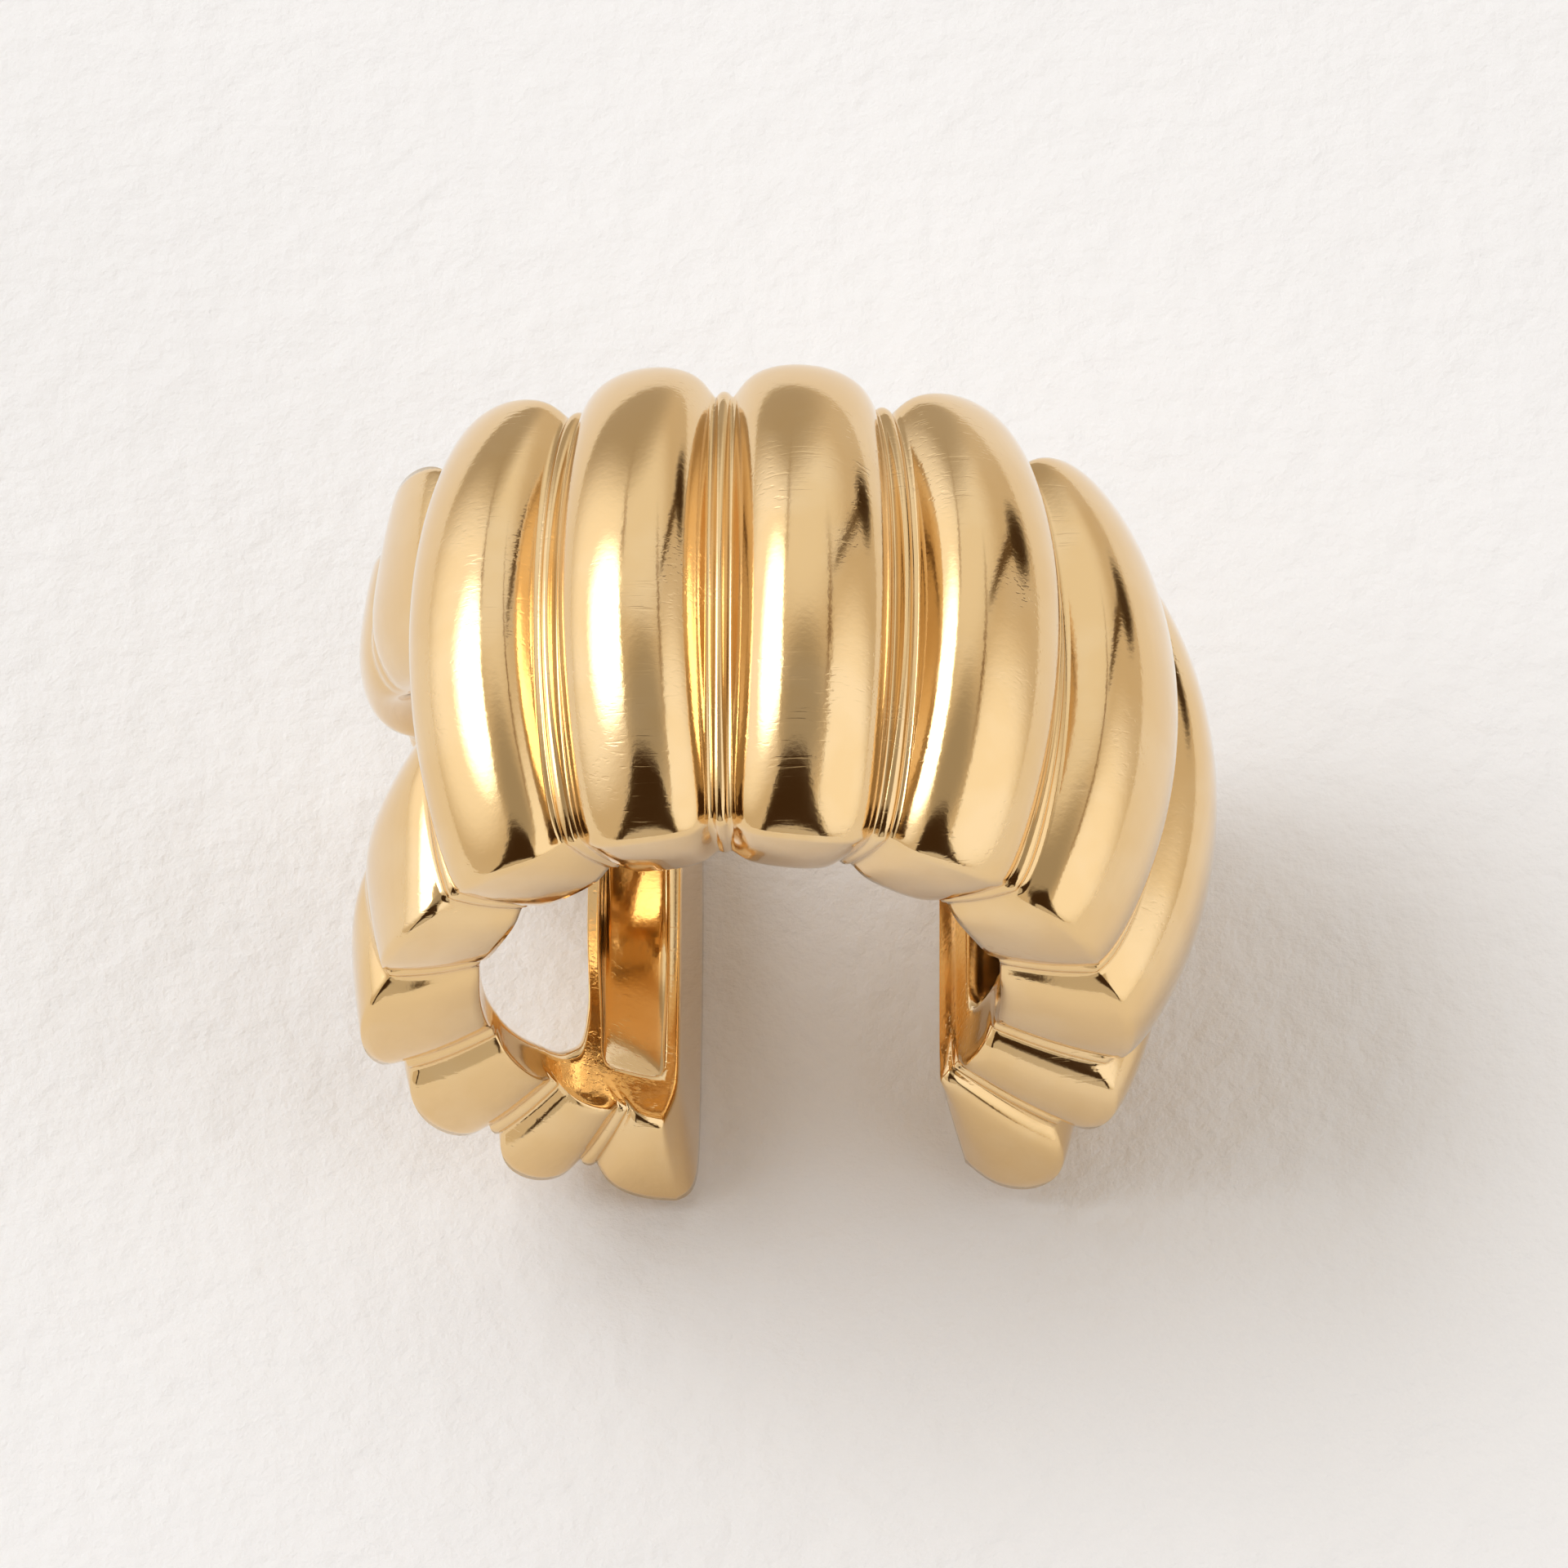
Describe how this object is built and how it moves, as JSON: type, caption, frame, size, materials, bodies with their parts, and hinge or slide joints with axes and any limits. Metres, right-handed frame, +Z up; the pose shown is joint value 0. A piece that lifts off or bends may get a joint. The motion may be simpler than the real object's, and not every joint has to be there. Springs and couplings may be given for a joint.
{
  "type": "clip-on hoop earring",
  "caption": "Wide C-shaped ear hoop with rounded cross ribs, a hollowed back, a pierced rear leg and two flat pads that face each other across the lobe gap.",
  "frame": {"origin": "centre of the bounding box at its lowest level, the surface that the two leg ends stand on", "axes": "+Z up, +X from the pierced back leg to the plain front leg, +Y across the band along the hoop's axis"},
  "size_m": [0.018, 0.0114, 0.0173],
  "materials": {
    "polished_gold": "mirror-polished pale yellow gold plate with fine handling scratches"
  },
  "bodies": {
    "root": {"hoop_body": "polished_gold"}
  },
  "joints": []
}
